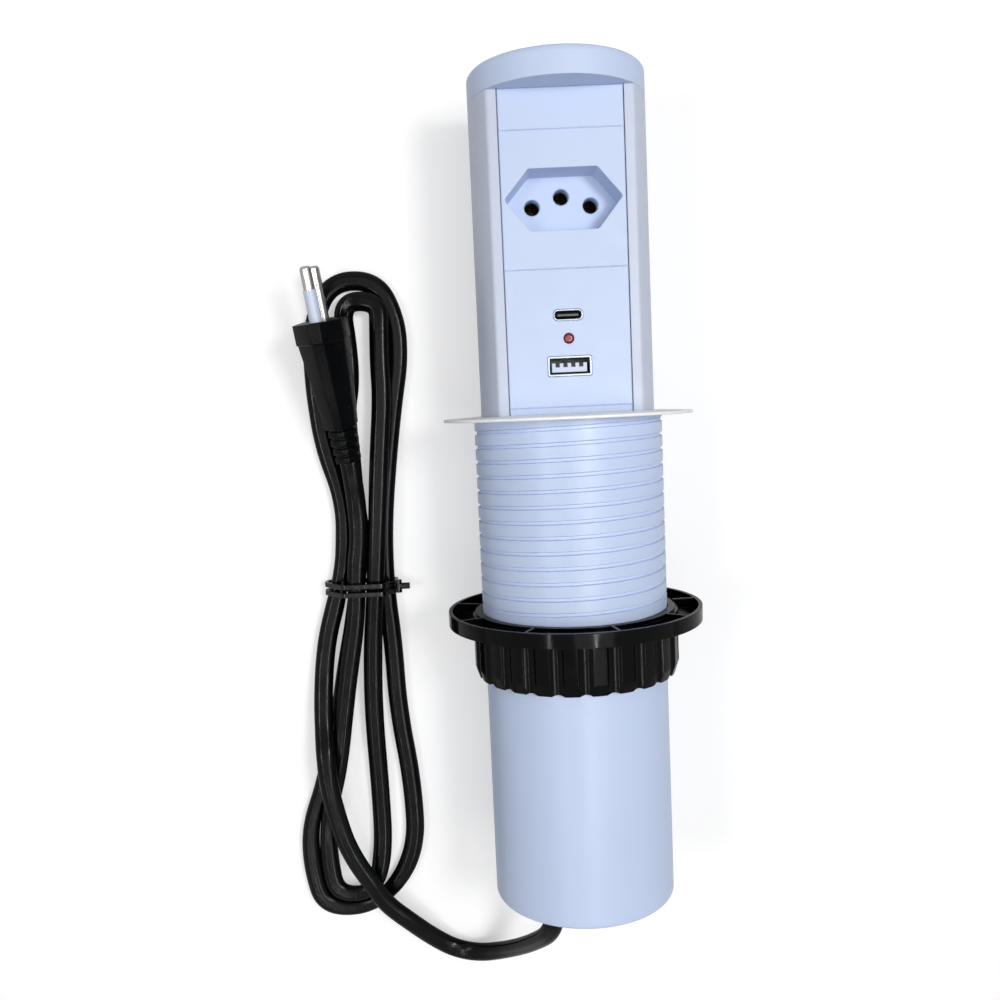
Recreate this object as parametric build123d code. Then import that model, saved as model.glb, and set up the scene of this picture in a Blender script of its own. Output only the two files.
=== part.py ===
"""Pop up desk socket, lying on its back with its column pulled all the way out.

A round barrel goes through a hole in a desk top. A thin flange stays above the desk and a nut with a
clamp ring is screwed up against its underside. A column with a flat front slides up out of the barrel
and carries a blank module, a three-hole socket module and a charging module with two ports.

The pieces are modelled upright, with z = 0 at the desk top and the front toward -y, and then laid on
their back: the cap points along +y, the front looks up and z = 0 is the surface below. The cord's
places are given from the same desk top level, as x, level along the axis, and height. Millimetres.
"""
from build123d import *
import math
import os

os.makedirs("parts", exist_ok=True)

# shared fits
overrun = 1.0                     # how far a cutting shape runs past a face
slide_fit = 0.15                  # between two pieces that are pushed together
seat_gap = 0.3                    # between a stop and what it stops

# levels of the front, from the desk top
foot_level = 3.3                  # top of the strip below the charging module
charging_height = 43.35
socket_height = 42.75
blank_height = 12.6

# column shell
column_radius = 28.92
column_wall = 1.8
flat_front = 17.6                 # depth of the flat front from the axis
flat_corner_radius = 1.5
lip_thickness = 1.6
window_share = 0.865               # width of the window over the flat front's width
column_sunk = 38.0                # how far the shell reaches below the desk top

# cap
cap_height = 9.2
cap_edge_radius = 2.2
cap_top_wall = 2.4
cap_spigot_height = 4.5
cap_spigot_wall = 1.8

# modules
panel_front = 17.5
panel_gap = 0.25                  # between the window's edge and a front plate
module_overlap = 1.25             # how far a module reaches behind the shell's lips
module_back = 2.0                 # depth of the front housings' rear face
module_wall = 2.0
blank_flange_depth = 2.6
blank_shelf = 2.0
blank_shelf_back = 20.0
seam_chamfer = 0.25
housing_back = 16.0               # how far the rear housings reach behind the axis
housing_side = 0.6                # a rear housing is this much narrower on each side
housing_wall = 1.6
housing_inset = 1.0

# socket recess and holes
recess_half_width = 18.65
recess_flat_half = 10.8
recess_above = 9.3
recess_below = 9.8
recess_floor = 7.0                # depth of the floor from the axis
recess_corner_radius = 1.2
recess_draft = 3.0                # degrees
recess_share = 0.5064             # place of the recess's points over the socket module's height
pin_drop = 0.65                   # how far the outer holes lie below those points
pin_spacing = 19.0
earth_rise = 3.0
hole_radius = 2.5
hole_chamfer = 0.35

# contacts
sleeve_radius = 3.2
sleeve_bore = 2.45
sleeve_fit = 0.2
sleeve_floor = 1.0
sleeve_slit = 0.8
carrier_floor = 3.0
tower_wall = 1.6
tail_radius = 0.9
tail_length = 3.0

# charging module
board_thickness = 1.6
board_front = 3.8
board_fit = 0.1
large_port_share = 0.2964         # places over the charging module's height
large_port_width = 13.9
large_port_height = 6.2
large_port_wall = 0.55
large_port_corner = 0.7
large_tongue_width = 11.2
large_tongue_height = 2.9
large_tongue_lift = 0.7
large_tongue_setback = 1.6
contact_count = 4
contact_width = 1.3
contact_pitch = 2.5
contact_thickness = 0.2
contact_tip_height = 0.95
contact_tip_drop = 0.35             # from the tongue's upper face
contact_length = 8.0
small_port_share = 0.6667
small_port_width = 9.3
small_port_height = 3.4
small_port_wall = 0.35
small_tongue_width = 6.7
small_tongue_height = 0.75
small_tongue_setback = 0.9
port_fit = 0.12
led_share = 0.4971
led_radius = 1.6
led_dome = 0.15
transformer_width = 17.0
transformer_height_share = 0.346
transformer_depth = 12.5
transformer_coil_share = 0.0692
transformer_side = 1.3            # the coil is this much narrower on each side than the core
transformer_share = 0.6159
capacitor_radius_share = 0.0948
capacitor_depth = 11.0
capacitor_share = 0.2007
capacitor_gap = 3.0
capacitor_count = 3

# column base, friction ring and cord clamp
base_plug_height = 4.0
base_core_height = 3.5
base_groove_depth = 2.9           # of the groove for the friction ring
base_flange_height = 2.5
base_flange_gap = 0.6             # between the stop flange and the barrel
ring_bore_fit = 0.15
ring_squeeze_gap = 0.15
clamp_block_width = 20.0
clamp_block_depth = 9.0
clamp_block_height = 6.0
clamp_screw_radius = 1.5
clamp_screw_head = 2.8
clamp_screw_head_height = 1.8
clamp_screw_spacing = 14.0

# conductors inside the column
wire_radius = 1.2
wire_back = 21.5                  # how far behind the axis they run
wire_bend = 3.6
wire_end_spacing = 5.0

# barrel with its thread
barrel_room = 0.38                # between the column and the barrel
barrel_wall = 2.1
crest_rise = 0.43                 # the thread's crest over the smooth part
barrel_length = 164.29
barrel_edge_radius = 1.2
thread_pitch = 4.85
thread_depth = 0.7
groove_mouth = 1.4
groove_root = 0.8
thread_length = 73.3
thread_groove_turns = 14
groove_front_level = -66.05       # level of the lowest groove at the front

# desk flange and guide key
flange_width = 10.28              # past the thread's crest
flange_under = 0.4                # its underside lies this far below the zero level
flange_rim = 1.0
flange_rise = 0.5
flange_seat = 0.3                 # depth of the seat for the barrel's end
seat_fit = 0.12
flange_edge = 0.35
flange_hole_gap = 0.4
key_fit = 0.12
key_face_gap = 0.4
key_core_radius = 2.4
key_core_spacing = 12.0
key_core_back = 23.0
key_floor = 2.0

# lid of the barrel and gland
lid_thickness = 4.0
lid_fit = 0.12
lid_recess = 1.6
lid_rim = 2.4
gland_offset = 11.0
gland_flange_radius = 7.0
gland_flange_height = 1.5
gland_neck_radius = 4.6
gland_out = 3.5                   # how far the gland stands out of the lid
gland_fit = 0.1

# clamp ring
ring_width = 8.23                 # from the collar to the rim
ring_top = 64.44                  # how far its top face lies below the desk top
ring_height = 4.7
ring_rim_wall = 1.3
ring_floor = 1.3
collar_wall = 1.45
collar_fit = 0.2
collar_drop = 1.3
spoke_count = 9
spoke_width = 0.9
spoke_phase = 4.0                 # degrees

# lock nut
nut_fit = 0.2
nut_wall = 3.23
nut_height = 17.5
nut_gap = 0.15
neck_wall = 1.65
neck_lip_rise = 0.75
neck_lip_height = 0.75
neck_lip_gap = 0.15
flute_count = 24
flute_radius = 3.0
flute_depth = 1.25
flute_foot_radius = 3.2           # rounds each flute's lower end
flute_foot_rise = 0.75
nut_chamfer = 1.15
nut_chamfer_height = 3.6

# cord
cord_radius = 2.7
hank_turns = 2

# plug
plug_heading = 97.0               # degrees
plug_rise = 8.5                   # degrees
relief_length = 13.0
relief_core_height = 10.5
relief_core_thickness = 7.4
relief_rib_height = 14.0
relief_rib_thickness = 9.6
relief_ribs = 4
plug_body_length = 31.0
plug_neck_height = 19.0
plug_neck_thickness = 13.0
plug_shoulder_height = 32.0
plug_shoulder_thickness = 16.2
collar_length = 7.2
collar_height = 35.6
collar_thickness = 17.0
collar_edge = 1.0
hexagon_flat_share = 0.52         # upright flat over whole height
hexagon_end_share = 0.24          # end width over thickness
plug_pin_radius = 2.0
plug_pin_length = 19.0
plug_pin_spacing = 19.0
pin_tip_radius = 1.2
sleeve_cover_length = 11.0
sleeve_cover_radius = 2.3
sleeve_cover_fit = 0.05

# twist tie
tie_level = -61.6
tie_wrap_spacing = 3.1
tie_width = 1.7
tie_thickness = 1.2
tie_corner = 1.6
tie_knot_radius = 1.2
tie_tail_length = 4.2

# spare lead inside the barrel
spare_coil_radius = 16.5
spare_turns = 2

# worked out from the sizes above
charging_level = foot_level
socket_level = charging_level + charging_height
blank_level = socket_level + socket_height
panel_top = blank_level + blank_height
cap_top = panel_top + cap_height
shell_bottom = -column_sunk
base_bottom = shell_bottom - base_core_height - base_flange_height
flange_bottom = -flange_under
flange_top = flange_bottom + flange_rim
barrel_top = flange_bottom + flange_seat
barrel_bottom = barrel_top - barrel_length
shell_inner = column_radius - column_wall
front_half = math.sqrt(column_radius ** 2 - flat_front ** 2)
window_width = (front_half + front_half) * window_share
panel_width = window_width - panel_gap - panel_gap
module_width = window_width + module_overlap + module_overlap
housing_width = module_width - housing_side - housing_side
recess_level = socket_level + socket_height * recess_share
pin_level = recess_level - pin_drop
large_port_level = charging_level + charging_height * large_port_share
small_port_level = charging_level + charging_height * small_port_share
led_level = charging_level + charging_height * led_share
transformer_height = charging_height * transformer_height_share
transformer_coil_height = charging_height * transformer_coil_share
transformer_coil_radius = transformer_width / 2 - transformer_side
transformer_level = charging_level + charging_height * transformer_share
capacitor_radius = min(charging_height, module_width) * capacitor_radius_share
capacitor_level = charging_level + charging_height * capacitor_share
capacitor_spacing = capacitor_radius + capacitor_radius + capacitor_gap
barrel_bore = column_radius + barrel_room
barrel_crest = barrel_bore + barrel_wall
barrel_smooth = barrel_crest - crest_rise
base_flange_radius = barrel_bore - base_flange_gap
base_core_radius = base_flange_radius - base_groove_depth
flange_radius = barrel_crest + flange_width
nut_bore = barrel_crest + nut_fit
nut_radius = nut_bore + nut_wall
neck_radius = nut_bore + neck_wall
neck_lip_radius = neck_radius + neck_lip_rise
collar_bore = neck_radius + collar_fit
collar_radius = collar_bore + collar_wall
ring_radius = collar_radius + ring_width
lip_back = flat_front - lip_thickness
module_front = lip_back - slide_fit
upward = ring_radius              # height of the axis above the surface
forward = -(cap_top + barrel_bottom) / 2


def lay(shape):
    """Lay an upright piece on its back, on the surface."""
    return Pos(0, forward, upward) * Rot(-90, 0, 0) * shape


def slab(x0, x1, f0, f1, s0, s1):
    """Block between two sides, two depths toward the front and two levels."""
    corner = (Align.MIN, Align.MIN, Align.MIN)
    return Pos(x0, -f1, s0) * Box(x1 - x0, f1 - f0, s1 - s0, align=corner)


def rod(radius, s0, s1, x=0, f=0):
    """Upright cylinder between two levels."""
    foot = (Align.CENTER, Align.CENTER, Align.MIN)
    return Pos(x, -f, s0) * Cylinder(radius, s1 - s0, align=foot)


def pin(radius, f0, f1, x, s):
    """Cylinder that runs toward the front, between two depths."""
    foot = (Align.CENTER, Align.CENTER, Align.MIN)
    return Pos(x, -f0, s) * Rot(90, 0, 0) * Cylinder(radius, f1 - f0, align=foot)


def ring(outer, inner, s0, s1):
    """Upright ring."""
    return rod(outer, s0, s1) - rod(inner, s0 - overrun, s1 + overrun)


def turned(points):
    """Turn an outline of (radius, level) points about the axis."""
    face = make_face(Polyline(*[(r, 0, s) for r, s in points], close=True))
    return revolve(face, axis=Axis.Z)


def behind(depth, radius, s0, s1):
    """The part of a rod that lies behind a depth."""
    return rod(radius, s0, s1) & slab(-radius, radius, -radius, depth, s0, s1)


def front_edges(shape, depth):
    """Edges that lie in the plane of a front face."""
    return shape.edges().filter_by_position(Axis.Y, -depth - seam_chamfer / 4, -depth + seam_chamfer / 4)


def panel(s0, s1, depth_back):
    """Front plate in the window, and the wider body behind the shell's lips."""
    half = panel_width / 2
    plate = slab(-half, half, module_front, panel_front, s0, s1)
    plate = chamfer(front_edges(plate, panel_front), seam_chamfer)
    return plate + slab(-module_width / 2, module_width / 2, depth_back, module_front, s0, s1)


def hollow(s0, s1, back):
    """Room inside a front housing."""
    half = module_width / 2 - module_wall
    return slab(-half, half, back - overrun, module_front - module_wall, s0 + module_wall, s1 - module_wall)


def slot_section(width, height, corner, x, s, depth):
    """Rounded rectangle in a plane that faces the front."""
    plane = Plane(origin=(x, -depth, s), x_dir=(1, 0, 0), z_dir=(0, -1, 0))
    return plane * RectangleRounded(width, height, corner)


def tube_port(width, height, corner, wall, s, f0, f1):
    """Rectangular sleeve of a port."""
    outer = extrude(slot_section(width, height, corner, 0, s, f0), amount=f1 - f0)
    inner_corner = corner - wall
    if inner_corner <= 0:
        inner_corner = corner / 2
    inner = slot_section(width - wall - wall, height - wall - wall, inner_corner, 0, s, f0)
    return outer - extrude(inner, amount=f1 - f0)


# Column shell: a round tube, cut flat at the front, with a window between two lips
shell_outer = behind(flat_front, column_radius, shell_bottom, panel_top)
corner_edges = shell_outer.edges().filter_by(Axis.Z)
shell_outer = fillet(corner_edges, flat_corner_radius)
shell_room = behind(lip_back, shell_inner, shell_bottom - overrun, panel_top + overrun)
window = slab(-window_width / 2, window_width / 2, 0, column_radius, shell_bottom - overrun, panel_top + overrun)
column_shell = shell_outer - shell_room - window

# Cap: a round lid whose flat underside overhangs the flat front
cap_disc = rod(column_radius, panel_top, cap_top)
cap_disc = fillet(cap_disc.edges().group_by(Axis.Z)[-1], cap_edge_radius)
cap_pocket = behind(flat_front - lip_thickness, shell_inner - column_wall, panel_top - overrun, cap_top - cap_top_wall)
spigot_outer = shell_inner - slide_fit
spigot = ring(spigot_outer, spigot_outer - cap_spigot_wall, panel_top - cap_spigot_height, panel_top + overrun)
spigot_front = module_front - blank_flange_depth - seat_gap
spigot = spigot & slab(-column_radius, column_radius, -column_radius, spigot_front, 0, cap_top)
cap = cap_disc - cap_pocket + spigot

# Blank module
blank_module = panel(blank_level, panel_top, module_front - blank_flange_depth)
shelf = behind(module_front, shell_inner - seat_gap, blank_level, blank_level + blank_shelf)
shelf = shelf & slab(-module_width / 2, module_width / 2, -blank_shelf_back, module_front, blank_level, panel_top)
blank_module = blank_module + shelf

# Socket module: front with the six-sided recess and its three holes
socket_module = panel(socket_level, blank_level, module_back) - hollow(socket_level, blank_level, module_back)
recess_points = [
    (-recess_half_width, recess_level),
    (-recess_flat_half, recess_level + recess_above),
    (recess_flat_half, recess_level + recess_above),
    (recess_half_width, recess_level),
    (recess_flat_half, recess_level - recess_below),
    (-recess_flat_half, recess_level - recess_below),
]
recess_plane = Plane(origin=(0, -panel_front, 0), x_dir=(1, 0, 0), z_dir=(0, -1, 0))
recess_line = Polyline(*recess_points, close=True)
recess_face = make_face(recess_line)
recess_face = fillet(recess_face.vertices(), recess_corner_radius)
cup_face = offset(recess_face, amount=module_wall)
cup = extrude(recess_plane * cup_face, amount=module_back - panel_front)
cup = cup & slab(-module_width / 2, module_width / 2, module_back, module_front, socket_level, blank_level)
recess = extrude(recess_plane * recess_face, amount=recess_floor - panel_front, taper=recess_draft)
socket_module = socket_module + cup - recess
hole_places = [(-pin_spacing / 2, pin_level), (pin_spacing / 2, pin_level), (0, pin_level + earth_rise)]
for hole_x, hole_s in hole_places:
    socket_module = socket_module - pin(hole_radius, module_back - overrun, recess_floor + overrun, hole_x, hole_s)
    cone_plane = Plane(origin=(hole_x, -recess_floor, hole_s), x_dir=(1, 0, 0), z_dir=(0, 1, 0))
    cone_face = cone_plane * Circle(hole_radius + hole_chamfer)
    socket_module = socket_module - extrude(cone_face, amount=hole_chamfer, taper=45)

# Contact carrier behind the socket front, with a tower for each contact
half_housing = housing_width / 2
carrier_low = socket_level + housing_inset
carrier_high = blank_level - housing_inset
contact_carrier = slab(-half_housing, half_housing, -housing_back, module_back, carrier_low, carrier_high)
inner_half = half_housing - housing_wall
carrier_face = -housing_back + carrier_floor
contact_carrier = contact_carrier - slab(
    -inner_half, inner_half, carrier_face, module_back + overrun,
    carrier_low + housing_wall, carrier_high - housing_wall)
for hole_x, hole_s in hole_places:
    contact_carrier = contact_carrier + pin(
        sleeve_radius + sleeve_fit + tower_wall, carrier_face, module_back, hole_x, hole_s)
for hole_x, hole_s in hole_places:
    contact_carrier = contact_carrier - pin(
        sleeve_radius + sleeve_fit, carrier_face, module_back + overrun, hole_x, hole_s)
    contact_carrier = contact_carrier - pin(
        tail_radius + sleeve_fit, -housing_back - overrun, carrier_face, hole_x, hole_s)


def contact(x, s):
    """Split brass sleeve with a floor and a tail through the carrier's back."""
    body = pin(sleeve_radius, carrier_face, module_back, x, s)
    body = body - pin(sleeve_bore, carrier_face + sleeve_floor, module_back + overrun, x, s)
    body = body - slab(
        x - sleeve_slit / 2, x + sleeve_slit / 2, carrier_face + sleeve_floor + sleeve_radius,
        module_back + overrun, s - sleeve_radius - overrun, s + sleeve_radius + overrun)
    return body + pin(tail_radius, -housing_back - tail_length, carrier_face, x, s)


live_contact = contact(*hole_places[0])
neutral_contact = contact(*hole_places[1])
earth_contact = contact(*hole_places[2])

# Charging module: front housing with the port openings
charging_module = panel(charging_level, socket_level, module_back)
charging_module = charging_module - hollow(charging_level, socket_level, module_back)
small_corner = small_port_height / 2 - small_port_wall / 2
opening = slot_section(
    large_port_width + port_fit + port_fit, large_port_height + port_fit + port_fit,
    large_port_corner, 0, large_port_level, module_back)
charging_module = charging_module - extrude(opening, amount=panel_front)
opening = slot_section(
    small_port_width + port_fit + port_fit, small_port_height + port_fit + port_fit,
    small_corner, 0, small_port_level, module_back)
charging_module = charging_module - extrude(opening, amount=panel_front)
charging_module = charging_module - pin(led_radius + port_fit, module_back, panel_front + overrun, 0, led_level)

# Board, ports and indicator
board_back = board_front - board_thickness
board_half = module_width / 2 - module_wall - board_fit
charger_board = slab(
    -board_half, board_half, board_back, board_front,
    charging_level + module_wall + board_fit, socket_level - module_wall - board_fit)
type_a_shell = tube_port(
    large_port_width, large_port_height, large_port_corner, large_port_wall,
    large_port_level, board_front, panel_front)
tongue_low = large_port_level - large_port_height / 2 + large_port_wall + large_tongue_lift
type_a_tongue = slab(
    -large_tongue_width / 2, large_tongue_width / 2, board_front,
    panel_front - large_tongue_setback, tongue_low, tongue_low + large_tongue_height)
contact_top = tongue_low + large_tongue_height + contact_thickness
type_a_contacts = Part()
for index in range(contact_count):
    contact_x = (index - (contact_count - 1) / 2) * contact_pitch
    type_a_contacts = type_a_contacts + slab(
        contact_x - contact_width / 2, contact_x + contact_width / 2,
        panel_front - large_tongue_setback - contact_length, panel_front - large_tongue_setback,
        tongue_low + large_tongue_height, contact_top)
    type_a_contacts = type_a_contacts + slab(
        contact_x - contact_width / 2, contact_x + contact_width / 2,
        panel_front - large_tongue_setback, panel_front - large_tongue_setback + contact_thickness,
        contact_top - contact_thickness - contact_tip_drop - contact_tip_height, contact_top)
type_c_shell = tube_port(
    small_port_width, small_port_height, small_corner, small_port_wall,
    small_port_level, board_front, panel_front)
type_c_tongue = slab(
    -small_tongue_width / 2, small_tongue_width / 2, board_front, panel_front - small_tongue_setback,
    small_port_level - small_tongue_height / 2, small_port_level + small_tongue_height / 2)
indicator_led = pin(led_radius, board_front, panel_front + led_dome, 0, led_level)
indicator_led = fillet(indicator_led.edges().group_by(Axis.Y)[0], led_radius / 2)

# Transformer and capacitors on the back of the board
transformer = slab(
    -transformer_width / 2, transformer_width / 2, board_back - transformer_depth, board_back,
    transformer_level - transformer_height / 2, transformer_level + transformer_height / 2)
coil_mid = board_back - transformer_depth / 2
coil_half = transformer_height / 2 + transformer_coil_height
coil = rod(transformer_coil_radius, transformer_level - coil_half, transformer_level + coil_half, 0, coil_mid)
coil = coil & slab(
    -transformer_width / 2, transformer_width / 2, board_back - transformer_depth, board_back - slide_fit,
    transformer_level - coil_half, transformer_level + coil_half)
transformer = transformer + coil
capacitors = Part()
for index in range(capacitor_count):
    capacitor_x = (index - (capacitor_count - 1) / 2) * capacitor_spacing
    can = pin(capacitor_radius, board_back - capacitor_depth, board_back, capacitor_x, capacitor_level)
    capacitors = capacitors + can

# Cover behind the charging module
cover_low = charging_level + housing_inset
cover_high = socket_level - housing_inset
charger_cover = slab(-half_housing, half_housing, -housing_back, module_back, cover_low, cover_high)
charger_cover = charger_cover - slab(
    -inner_half, inner_half, -housing_back + housing_wall, module_back + overrun,
    cover_low + housing_wall, cover_high - housing_wall)

# Column base: the strip below the modules, a plug in the shell and a flange that stops the column
strip_back = module_front - blank_flange_depth
column_base = panel(shell_bottom, foot_level, strip_back)
plug_disc = behind(module_front, shell_inner - slide_fit, shell_bottom, shell_bottom + base_plug_height)
core = rod(base_core_radius, shell_bottom - base_core_height, shell_bottom)
base_flange = rod(base_flange_radius, base_bottom, shell_bottom - base_core_height)
column_base = column_base + plug_disc + core + base_flange

# Friction ring in the base's groove
ring_outer = barrel_bore - ring_squeeze_gap
friction_ring = ring(ring_outer, base_core_radius + ring_bore_fit, shell_bottom - base_core_height, shell_bottom)

# Cord clamp on the base, with its two screws
clamp_low = shell_bottom + base_plug_height
clamp_high = clamp_low + clamp_block_height
cord_clamp = slab(
    -clamp_block_width / 2, clamp_block_width / 2, -clamp_block_depth / 2, clamp_block_depth / 2,
    clamp_low, clamp_high)
clamp_screws = Part()
for side in (-1, 1):
    screw_x = side * clamp_screw_spacing / 2
    cord_clamp = cord_clamp - rod(clamp_screw_radius, clamp_low - overrun, clamp_high + overrun, screw_x)
    screw = rod(clamp_screw_radius, clamp_low, clamp_high, screw_x)
    screw = screw + rod(clamp_screw_head, clamp_high, clamp_high + clamp_screw_head_height, screw_x)
    clamp_screws = clamp_screws + screw


def conductor(x, s, end_x):
    """Wire from a contact's tail, down the back of the column, to the cord clamp."""
    tail = -housing_back - tail_length
    route = [
        (x, -tail, s),
        (x, wire_back + wire_bend / 2, s),
        (x, wire_back + wire_bend / 2, clamp_high + wire_bend + wire_bend),
        (end_x, 0, clamp_high + wire_bend + wire_bend / 2),
        (end_x, 0, clamp_high),
    ]
    path = FilletPolyline(*route, radius=wire_bend / 2)
    section = Plane(origin=path @ 0, z_dir=path % 0) * Circle(wire_radius)
    return sweep(section, path=path)


live_wire = conductor(hole_places[0][0], hole_places[0][1], -wire_end_spacing / 2)
neutral_wire = conductor(hole_places[1][0], hole_places[1][1], wire_end_spacing / 2)

# Barrel: crest of the thread above, smooth below, one helical groove
thread_end = barrel_top - thread_length
barrel_points = [
    (barrel_bore, barrel_top),
    (barrel_crest, barrel_top),
    (barrel_crest, thread_end),
    (barrel_smooth, thread_end - thread_depth),
    (barrel_smooth, barrel_bottom),
    (barrel_bore, barrel_bottom),
]
barrel = turned(barrel_points)
barrel = fillet(barrel.edges().group_by(Axis.Z)[0].sort_by(SortBy.RADIUS)[-1], barrel_edge_radius)
front_phase_share = 0.75          # the helix starts at +x and reaches the front after this share of a turn
for turn in range(thread_groove_turns):
    groove_low = groove_front_level + thread_pitch * (turn - front_phase_share)
    groove_path = Helix(pitch=thread_pitch, height=thread_pitch, radius=barrel_crest, center=(0, 0, groove_low))
    groove_face = make_face(Polyline(
        (barrel_crest + overrun, 0, groove_low - groove_mouth / 2),
        (barrel_crest, 0, groove_low - groove_mouth / 2),
        (barrel_crest - thread_depth, 0, groove_low - groove_root / 2),
        (barrel_crest - thread_depth, 0, groove_low + groove_root / 2),
        (barrel_crest, 0, groove_low + groove_mouth / 2),
        (barrel_crest + overrun, 0, groove_low + groove_mouth / 2),
        close=True))
    barrel = barrel - sweep(groove_face, path=groove_path, is_frenet=True)

# Desk flange: thin disc, a little higher at the column, with a hole that has the column's shape
flange_points = [
    (barrel_bore - column_wall - overrun, flange_bottom),
    (flange_radius - flange_edge, flange_bottom),
    (flange_radius, flange_bottom + flange_edge),
    (flange_radius, flange_top - flange_edge),
    (flange_radius - flange_edge, flange_top),
    (barrel_crest, flange_top + flange_rise),
    (barrel_bore - column_wall - overrun, flange_top + flange_rise),
]
desk_flange = turned(flange_points) + ring(barrel_bore, key_core_back / 2, flange_bottom, flange_top + flange_rise)
flange_hole = behind(flat_front + flange_hole_gap, column_radius + flange_hole_gap, flange_bottom - overrun, cap_top)
desk_flange = desk_flange - flange_hole - rod(barrel_crest + seat_fit, flange_bottom - overrun, barrel_top)

# Guide key: fills the barrel in front of the flat front, keeps the column from turning and stops it
key_bottom = shell_bottom + seat_gap
guide_key = rod(barrel_bore - key_fit, key_bottom, barrel_top)
guide_key = guide_key & slab(
    -column_radius, column_radius, flat_front + key_face_gap, barrel_bore, key_bottom, barrel_top)
for index in (-1, 0, 1):
    guide_key = guide_key - rod(
        key_core_radius, key_bottom - overrun, barrel_top - key_floor, index * key_core_spacing, key_core_back)

# Lid of the barrel, with the gland through it
lid_top = barrel_bottom + lid_thickness
barrel_lid = rod(barrel_bore - lid_fit, barrel_bottom, lid_top)
barrel_lid = barrel_lid - rod(barrel_bore - lid_fit - lid_rim, lid_top - lid_recess, lid_top + overrun)
barrel_lid = barrel_lid - rod(
    gland_neck_radius + gland_fit, barrel_bottom - overrun, lid_top + overrun, -gland_offset)
lid_floor_top = lid_top - lid_recess
cord_gland = rod(gland_neck_radius, barrel_bottom - gland_out, lid_floor_top, -gland_offset)
cord_gland = cord_gland + rod(
    gland_flange_radius, lid_floor_top, lid_floor_top + gland_flange_height, -gland_offset)
cord_gland = fillet(cord_gland.edges().group_by(Axis.Z)[0], gland_neck_radius - cord_radius - gland_flange_height / 2)

# Clamp ring: rim, floor, collar and spokes
ring_top_level = -ring_top
ring_low = ring_top_level - ring_height
clamp_ring = ring(ring_radius, ring_radius - ring_rim_wall, ring_low, ring_top_level)
clamp_ring = clamp_ring + ring(ring_radius - ring_rim_wall / 2, collar_bore, ring_low, ring_low + ring_floor)
clamp_ring = clamp_ring + ring(collar_radius, collar_bore, ring_low, ring_top_level - collar_drop)
for index in range(spoke_count):
    spoke = slab(
        (collar_radius + collar_bore) / 2, ring_radius - ring_rim_wall / 2,
        -spoke_width / 2, spoke_width / 2, ring_low, ring_top_level)
    spoke_trim = ring(ring_radius, (collar_radius + collar_bore) / 2, ring_low, ring_top_level)
    angle = spoke_phase + index * 360 / spoke_count
    clamp_ring = clamp_ring + (Rot(0, 0, angle) * spoke & spoke_trim)
clamp_flange = clamp_ring

# Lock nut: fluted skirt and a neck that holds the clamp ring
nut_top = ring_low - nut_gap
nut_low = nut_top - nut_height
lip_low = ring_top_level - collar_drop + neck_lip_gap
nut_points = [
    (nut_bore, lip_low + neck_lip_height),
    (neck_lip_radius, lip_low + neck_lip_height),
    (neck_lip_radius, lip_low),
    (neck_radius, lip_low),
    (neck_radius, nut_top),
    (nut_radius, nut_top),
    (nut_radius, nut_low + nut_chamfer_height),
    (nut_radius - nut_chamfer, nut_low),
    (nut_bore, nut_low),
]
lock_nut = turned(nut_points)
flute_centre = nut_radius - flute_depth + flute_radius
for index in range(flute_count):
    flute = rod(flute_radius, nut_low - overrun, nut_top - nut_gap - overrun, flute_centre)
    lock_nut = lock_nut - Rot(0, 0, index * 360 / flute_count) * flute
foot_place = Pos((nut_bore + nut_radius) / 2, 0, nut_low - flute_foot_radius + flute_foot_rise)
flute_foot = foot_place * Rot(0, 90, 0) * Cylinder(flute_foot_radius, nut_wall + overrun)
for index in range(flute_count):
    lock_nut = lock_nut - Rot(0, 0, index * 360 / flute_count) * flute_foot


def routed(x, s, h):
    """A cord's place in the laid frame."""
    return Vector(x, s + forward, h)


def biarc(start, start_way, end, end_way):
    """Two arcs that leave one point and reach the next along their given ways."""
    gap = end - start
    both = start_way + end_way
    spread = 2 * (1 - start_way.dot(end_way))
    lead = gap.dot(both)
    if spread < 1e-9:
        reach = gap.dot(gap) / (2 * lead)
    else:
        reach = (math.sqrt(lead ** 2 + spread * gap.dot(gap)) - lead) / spread
    middle = (start + start_way * reach + end - end_way * reach) * 0.5
    return middle


def arc_points(start, way, end, count):
    """Points along the arc that leaves a point along a way and ends at another."""
    gap = end - start
    side = gap - way * gap.dot(way)
    if side.length < 1e-6:
        return [start + gap * (k / count) for k in range(count)]
    side = side.normalized()
    radius = gap.dot(gap) / (2 * gap.dot(side))
    sweep_angle = math.atan2(gap.dot(way), radius - gap.dot(side)) % math.tau
    found = []
    for k in range(count):
        part_angle = sweep_angle * k / count
        found.append(start + way * (radius * math.sin(part_angle)) + side * (radius * (1 - math.cos(part_angle))))
    return found


def biarc_wire(places, ways):
    """Wire of biarcs through the places, with points sampled along it."""
    edges = []
    samples = []
    steps = 12
    for index in range(len(places) - 1):
        start, end = places[index], places[index + 1]
        start_way, end_way = ways[index], ways[index + 1]
        middle = biarc(start, start_way, end, end_way)
        edges.append(Edge.make_tangent_arc(start, start_way, middle))
        middle_way = edges[-1] % 1
        edges.append(Edge.make_tangent_arc(middle, middle_way, end))
        samples += arc_points(start, start_way, middle, steps)
        samples += arc_points(middle, middle_way, end, steps)
    samples.append(places[-1])
    return Wire(edges), samples


def least_gap(samples, radius):
    """Least distance of a tube to itself, away from its own neighbourhood."""
    run = [0.0]
    for index in range(1, len(samples)):
        run.append(run[-1] + (samples[index] - samples[index - 1]).length)
    least = None
    for i in range(len(samples)):
        for j in range(i + 1, len(samples)):
            if run[j] - run[i] < radius * 9:
                continue
            apart = (samples[i] - samples[j]).length
            if least is None or apart < least:
                least = apart
    return least - radius - radius, run[-1]


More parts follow.
